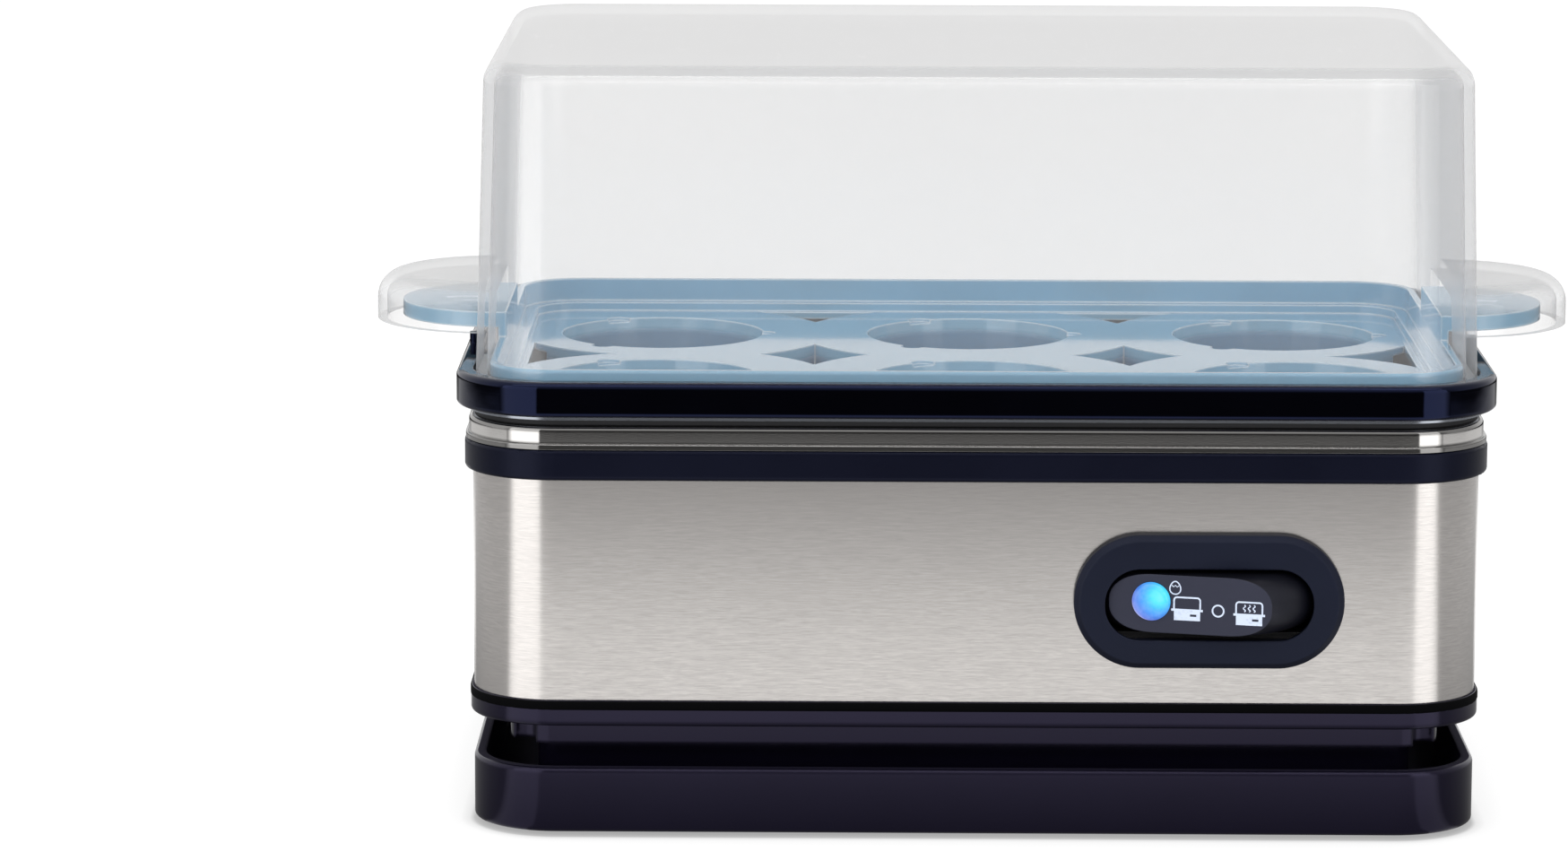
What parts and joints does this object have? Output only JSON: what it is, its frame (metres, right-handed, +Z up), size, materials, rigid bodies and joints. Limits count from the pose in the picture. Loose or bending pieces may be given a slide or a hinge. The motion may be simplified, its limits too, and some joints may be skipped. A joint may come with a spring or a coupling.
{
  "type": "egg cooker",
  "caption": "Boxy electric egg cooker: clear lift-off lid with side ears over a holed egg tray, brushed steel shell, black plinth with cord moat, and an illuminated rocker switch.",
  "frame": {"origin": "centre of the footprint at table level", "axes": "+X to the right along the long side, +Y to the back, +Z up; the switch faces -Y"},
  "size_m": [0.2304, 0.1384, 0.1437],
  "materials": {
    "satin_black": "satin blue-black moulded plastic",
    "gloss_black": "glossy black moulded plastic",
    "brushed_stainless": "horizontally brushed stainless sheet",
    "polished_stainless": "polished stainless",
    "pan_stainless": "satin stainless",
    "black_rubber": "soft black rubber",
    "silicone": "black silicone",
    "screw_steel": "zinc-plated steel",
    "heater_aluminium": "plain aluminium",
    "element_steel": "heat-tinted steel sheath",
    "fuse_ceramic": "pale ceramic-like",
    "brass_contacts": "plain brass",
    "white_nylon": "natural nylon",
    "board_green": "green laminate",
    "component_black": "black moulded component",
    "capacitor_blue": "sleeved capacitor",
    "lead_brown": "brown insulation",
    "lead_blue": "blue insulation",
    "lead_white": "white insulation",
    "lead_green": "green-and-yellow insulation",
    "lamp_blue": "translucent blue lens",
    "lamp_glass": "clear lamp",
    "tray_blue_grey": "glossy blue-grey plastic",
    "lid_clear": "clear, slightly hazy plastic"
  },
  "bodies": {
    "base": {"plinth": "satin_black", "lower_housing": "satin_black", "steel_shell": "brushed_stainless", "upper_band": "satin_black", "steel_collar": "polished_stainless", "pan_seal": "silicone", "top_rim": "gloss_black", "cord_gland": "black_rubber", "foot_1": "black_rubber", "foot_2": "black_rubber", "foot_3": "black_rubber", "foot_4": "black_rubber", "housing_screws": "screw_steel", "base_screws": "screw_steel", "heating_pan": "pan_stainless", "heating_plate": "heater_aluminium", "heating_element": "element_steel", "element_clamp_1": "screw_steel", "element_clamp_2": "screw_steel", "thermostat": "heater_aluminium", "thermostat_bracket": "screw_steel", "thermal_fuse": "fuse_ceramic", "earth_tab": "brass_contacts", "terminal_block": "white_nylon", "circuit_board": "board_green", "buzzer": "component_black", "dropper_resistor": "fuse_ceramic", "capacitor": "capacitor_blue", "lead_live": "lead_brown", "lead_neutral": "lead_blue", "lead_earth": "lead_green", "lead_element_front": "lead_brown", "lead_element_back": "lead_blue", "lead_switch_feed": "lead_brown", "lead_lamp": "lead_white", "lead_thermostat_left": "lead_white", "lead_thermostat_right": "lead_white", "switch_bezel": "satin_black", "switch_body": "component_black", "switch_terminals": "brass_contacts", "rocker_pin": "screw_steel"},
    "rocker": {"rocker": "satin_black", "lamp_lens": "lamp_blue", "lamp": "lamp_glass"},
    "tray": {"egg_tray": "tray_blue_grey"},
    "lid": {"lid": "lid_clear"}
  },
  "joints": [
    {"name": "tray_lift", "type": "slide", "parent": "base", "child": "tray", "axis": [0, 0, 1], "range_m": [0, 0.06]},
    {"name": "lid_lift", "type": "slide", "parent": "tray", "child": "lid", "axis": [0, 0, 1], "range_m": [0, 0.075]},
    {"name": "rocker_turn", "type": "hinge", "parent": "base", "child": "rocker", "pos_m": [0.043, -0.0534, 0.0454], "axis": [0, 0, 1], "range_deg": [0, 28]}
  ]
}
